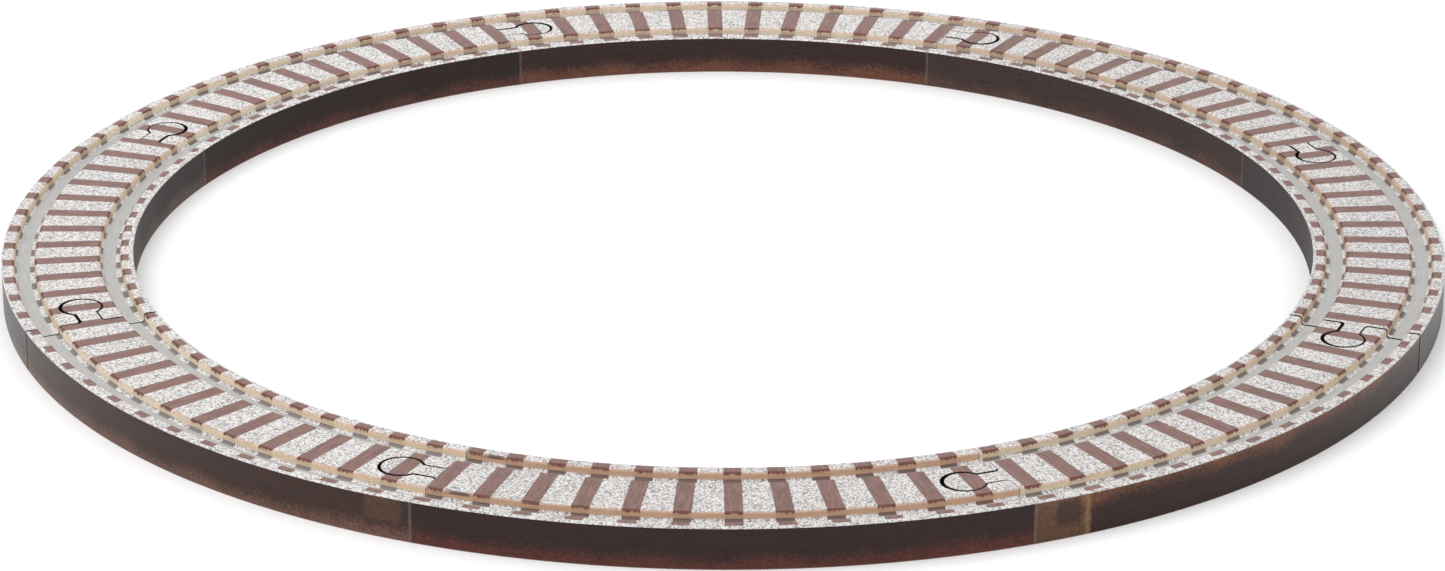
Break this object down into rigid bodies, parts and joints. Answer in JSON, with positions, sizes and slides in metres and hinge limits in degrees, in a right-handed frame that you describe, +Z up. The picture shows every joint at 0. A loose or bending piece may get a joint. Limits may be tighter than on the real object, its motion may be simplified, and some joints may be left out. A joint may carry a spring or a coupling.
{
  "type": "toy railway track circle",
  "caption": "Closed circle of curved wooden toy train track sections with two wheel grooves, printed sleepers and ballast, joined by round pegs in matching sockets.",
  "frame": {"origin": "centre of the circle of track, on the floor that it lies on", "axes": "+Z is up, out of the floor. +X runs from the origin to the middle of the right section and +Y to the middle of the back section"},
  "size_m": [0.444, 0.444, 0.0125],
  "materials": {
    "track_wood": "satin brown stain on the sides, matt printed sleepers and ballast on top, bare pale wood on the groove walls"
  },
  "bodies": {
    "front_curve": {"front_curve": "track_wood"},
    "front_right_curve": {"front_right_curve": "track_wood"},
    "right_curve": {"right_curve": "track_wood"},
    "back_right_curve": {"back_right_curve": "track_wood"},
    "back_curve": {"back_curve": "track_wood"},
    "back_left_curve": {"back_left_curve": "track_wood"},
    "left_curve": {"left_curve": "track_wood"},
    "front_left_curve": {"front_left_curve": "track_wood"}
  },
  "joints": [
    {"name": "front_right_lift", "type": "slide", "parent": "front_curve", "child": "front_right_curve", "axis": [0, 0, 1], "range_m": [0, 0.03]},
    {"name": "right_lift", "type": "slide", "parent": "front_curve", "child": "right_curve", "axis": [0, 0, 1], "range_m": [0, 0.03]},
    {"name": "back_right_lift", "type": "slide", "parent": "front_curve", "child": "back_right_curve", "axis": [0, 0, 1], "range_m": [0, 0.03]},
    {"name": "back_lift", "type": "slide", "parent": "front_curve", "child": "back_curve", "axis": [0, 0, 1], "range_m": [0, 0.03]},
    {"name": "back_left_lift", "type": "slide", "parent": "front_curve", "child": "back_left_curve", "axis": [0, 0, 1], "range_m": [0, 0.03]},
    {"name": "left_lift", "type": "slide", "parent": "front_curve", "child": "left_curve", "axis": [0, 0, 1], "range_m": [0, 0.03]},
    {"name": "front_left_lift", "type": "slide", "parent": "front_curve", "child": "front_left_curve", "axis": [0, 0, 1], "range_m": [0, 0.03]}
  ]
}
